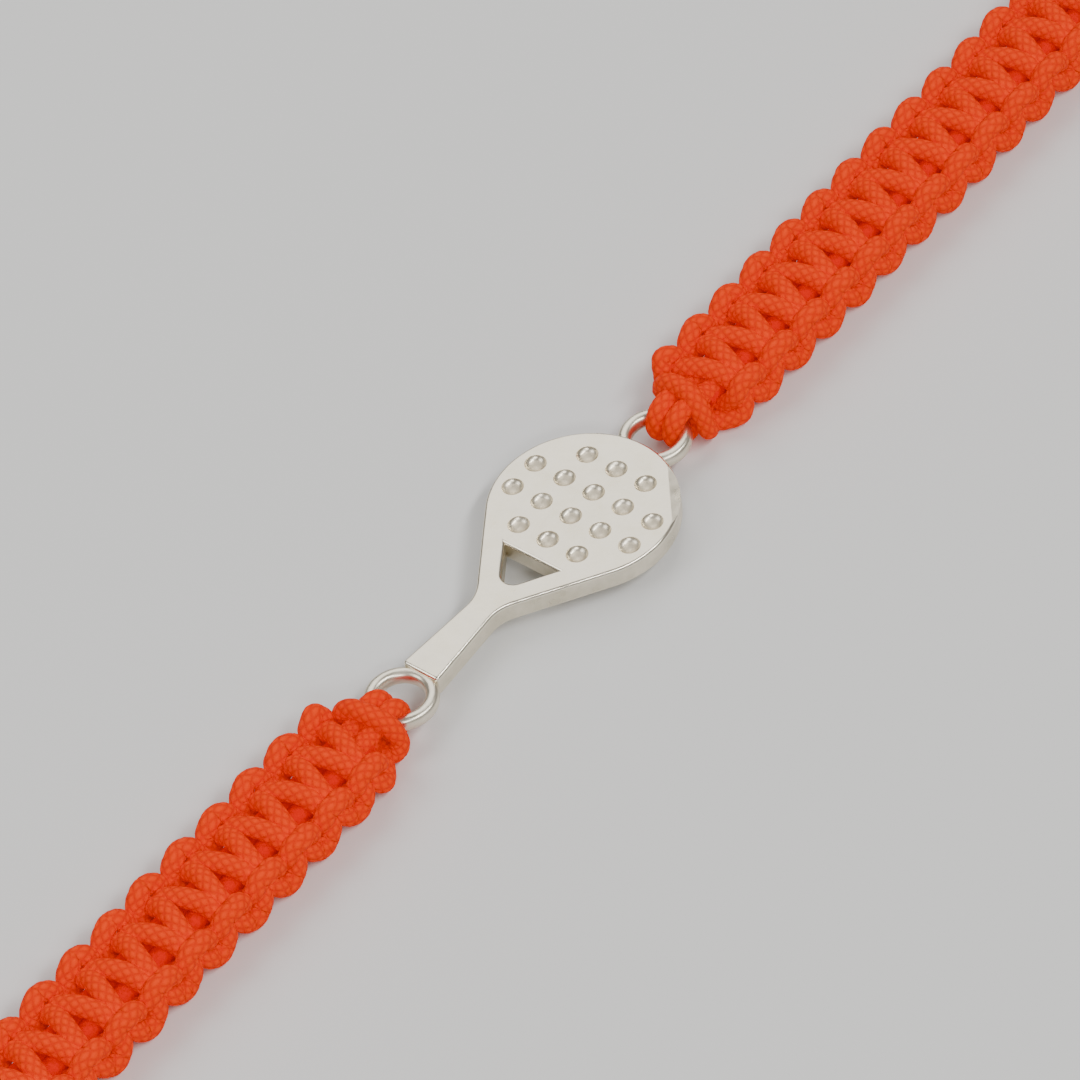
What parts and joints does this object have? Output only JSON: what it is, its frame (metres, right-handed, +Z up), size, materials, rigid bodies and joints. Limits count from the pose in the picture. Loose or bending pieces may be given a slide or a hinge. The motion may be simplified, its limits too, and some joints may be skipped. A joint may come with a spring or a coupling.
{
  "type": "padel racket bracelet",
  "caption": "Open bracelet laid straight: a flat silver link shaped like a padel racket between bands of knotted orange cord, with a trigger clasp and an extension chain.",
  "frame": {"origin": "middle of the laid out bracelet, on the surface that it lies on", "axes": "+X along the bracelet from the racket's handle to its head, +Z up out of the racket's dimpled face"},
  "size_m": [0.1896, 0.0098, 0.003],
  "materials": {
    "satin_silver": "satin, softly polished edges",
    "silver_wire": "polished silver wire",
    "polished_silver": "polished",
    "spring_steel": "drawn wire",
    "knotting_cord": "braided nylon cord",
    "filler_cord": "braided nylon cord"
  },
  "bodies": {
    "racket": {"racket_plate": "satin_silver", "head_ring": "silver_wire", "handle_ring": "silver_wire"},
    "head_hitch": {"head_loops": "knotting_cord", "head_bight": "knotting_cord"},
    "head_band_1": {"head_knots_1": "knotting_cord", "head_core_1": "filler_cord"},
    "head_band_2": {"head_knots_2": "knotting_cord", "head_core_2": "filler_cord"},
    "head_band_3": {"head_knots_3": "knotting_cord", "head_core_3": "filler_cord"},
    "head_band_4": {"head_knots_4": "knotting_cord", "head_core_4": "filler_cord"},
    "head_band_5": {"head_knots_5": "knotting_cord", "head_core_5": "filler_cord"},
    "head_band_6": {"head_knots_6": "knotting_cord", "head_core_6": "filler_cord", "head_end_cap": "polished_silver"},
    "chain_jump_ring": {"chain_jump_ring": "silver_wire"},
    "chain_link_1": {"chain_link_1": "silver_wire"},
    "chain_link_2": {"chain_link_2": "silver_wire"},
    "chain_link_3": {"chain_link_3": "silver_wire"},
    "chain_link_4": {"chain_link_4": "silver_wire"},
    "chain_tag": {"chain_tag": "silver_wire"},
    "handle_hitch": {"handle_loops": "knotting_cord", "handle_bight": "knotting_cord"},
    "handle_band_1": {"handle_knots_1": "knotting_cord", "handle_core_1": "filler_cord"},
    "handle_band_2": {"handle_knots_2": "knotting_cord", "handle_core_2": "filler_cord"},
    "handle_band_3": {"handle_knots_3": "knotting_cord", "handle_core_3": "filler_cord"},
    "handle_band_4": {"handle_knots_4": "knotting_cord", "handle_core_4": "filler_cord"},
    "handle_band_5": {"handle_knots_5": "knotting_cord", "handle_core_5": "filler_cord"},
    "handle_band_6": {"handle_knots_6": "knotting_cord", "handle_core_6": "filler_cord", "handle_end_cap": "polished_silver"},
    "clasp_jump_ring": {"clasp_jump_ring": "silver_wire"},
    "clasp": {"clasp_body": "polished_silver", "clasp_pin": "spring_steel", "clasp_spring": "spring_steel"},
    "clasp_lever": {"clasp_lever": "polished_silver"}
  },
  "joints": [
    {"name": "head_turn", "type": "hinge", "parent": "racket", "child": "head_hitch", "pos_m": [0.00726, 0, 0.0013], "axis": [0, 0, 1], "range_deg": [-25, 25]},
    {"name": "head_bend_1", "type": "hinge", "parent": "head_hitch", "child": "head_band_1", "pos_m": [0.01099, 0, 0.0015], "axis": [0, 1, 0], "range_deg": [-8, 22]},
    {"name": "head_bend_2", "type": "hinge", "parent": "head_band_1", "child": "head_band_2", "pos_m": [0.0214, 0, 0.0015], "axis": [0, 1, 0], "range_deg": [-8, 22]},
    {"name": "head_bend_3", "type": "hinge", "parent": "head_band_2", "child": "head_band_3", "pos_m": [0.03179, 0, 0.0015], "axis": [0, 1, 0], "range_deg": [-8, 22]},
    {"name": "head_bend_4", "type": "hinge", "parent": "head_band_3", "child": "head_band_4", "pos_m": [0.0422, 0, 0.0015], "axis": [0, 1, 0], "range_deg": [-8, 22]},
    {"name": "head_bend_5", "type": "hinge", "parent": "head_band_4", "child": "head_band_5", "pos_m": [0.0526, 0, 0.0015], "axis": [0, 1, 0], "range_deg": [-8, 22]},
    {"name": "head_bend_6", "type": "hinge", "parent": "head_band_5", "child": "head_band_6", "pos_m": [0.06299, 0, 0.0015], "axis": [0, 1, 0], "range_deg": [-8, 22]},
    {"name": "chain_jump_ring_swing", "type": "hinge", "parent": "head_band_6", "child": "chain_jump_ring", "pos_m": [0.07949, 0, 0.0015], "axis": [0, 1, 0], "range_deg": [-40, 40]},
    {"name": "link_1_swing", "type": "hinge", "parent": "chain_jump_ring", "child": "chain_link_1", "pos_m": [0.08128, 0, 0.0015], "axis": [0, 0, 1], "range_deg": [-35, 35]},
    {"name": "link_2_swing", "type": "hinge", "parent": "chain_link_1", "child": "chain_link_2", "pos_m": [0.08389, 0, 0.0015], "axis": [0, 1, 0], "range_deg": [-35, 35]},
    {"name": "link_3_swing", "type": "hinge", "parent": "chain_link_2", "child": "chain_link_3", "pos_m": [0.08653, 0, 0.0015], "axis": [0, 0, 1], "range_deg": [-35, 35]},
    {"name": "link_4_swing", "type": "hinge", "parent": "chain_link_3", "child": "chain_link_4", "pos_m": [0.08916, 0, 0.0015], "axis": [0, 1, 0], "range_deg": [-35, 35]},
    {"name": "tag_swing", "type": "hinge", "parent": "chain_link_4", "child": "chain_tag", "pos_m": [0.0918, 0, 0.0015], "axis": [0, 0, 1], "range_deg": [-35, 35]},
    {"name": "handle_turn", "type": "hinge", "parent": "racket", "child": "handle_hitch", "pos_m": [-0.01306, 0, 0.0013], "axis": [0, 0, 1], "range_deg": [-25, 25]},
    {"name": "handle_bend_1", "type": "hinge", "parent": "handle_hitch", "child": "handle_band_1", "pos_m": [-0.01679, 0, 0.0015], "axis": [0, -1, 0], "range_deg": [-8, 22]},
    {"name": "handle_bend_2", "type": "hinge", "parent": "handle_band_1", "child": "handle_band_2", "pos_m": [-0.02719, 0, 0.0015], "axis": [0, -1, 0], "range_deg": [-8, 22]},
    {"name": "handle_bend_3", "type": "hinge", "parent": "handle_band_2", "child": "handle_band_3", "pos_m": [-0.03759, 0, 0.0015], "axis": [0, -1, 0], "range_deg": [-8, 22]},
    {"name": "handle_bend_4", "type": "hinge", "parent": "handle_band_3", "child": "handle_band_4", "pos_m": [-0.04798, 0, 0.0015], "axis": [0, -1, 0], "range_deg": [-8, 22]},
    {"name": "handle_bend_5", "type": "hinge", "parent": "handle_band_4", "child": "handle_band_5", "pos_m": [-0.05838, 0, 0.0015], "axis": [0, -1, 0], "range_deg": [-8, 22]},
    {"name": "handle_bend_6", "type": "hinge", "parent": "handle_band_5", "child": "handle_band_6", "pos_m": [-0.06878, 0, 0.0015], "axis": [0, -1, 0], "range_deg": [-8, 22]},
    {"name": "clasp_jump_ring_swing", "type": "hinge", "parent": "handle_band_6", "child": "clasp_jump_ring", "pos_m": [-0.08528, 0, 0.0015], "axis": [0, -1, 0], "range_deg": [-40, 40]},
    {"name": "clasp_swing", "type": "hinge", "parent": "clasp_jump_ring", "child": "clasp", "pos_m": [-0.08707, 0, 0.0015], "axis": [0, 0, 1], "range_deg": [-35, 35]},
    {"name": "clasp_lever_turn", "type": "hinge", "parent": "clasp", "child": "clasp_lever", "pos_m": [-0.09008, -0.00151, 0.0015], "axis": [0, 0, -1], "range_deg": [0, 25], "stiffness_Nm_per_rad": 0.002, "springref_deg": -20.05}
  ]
}
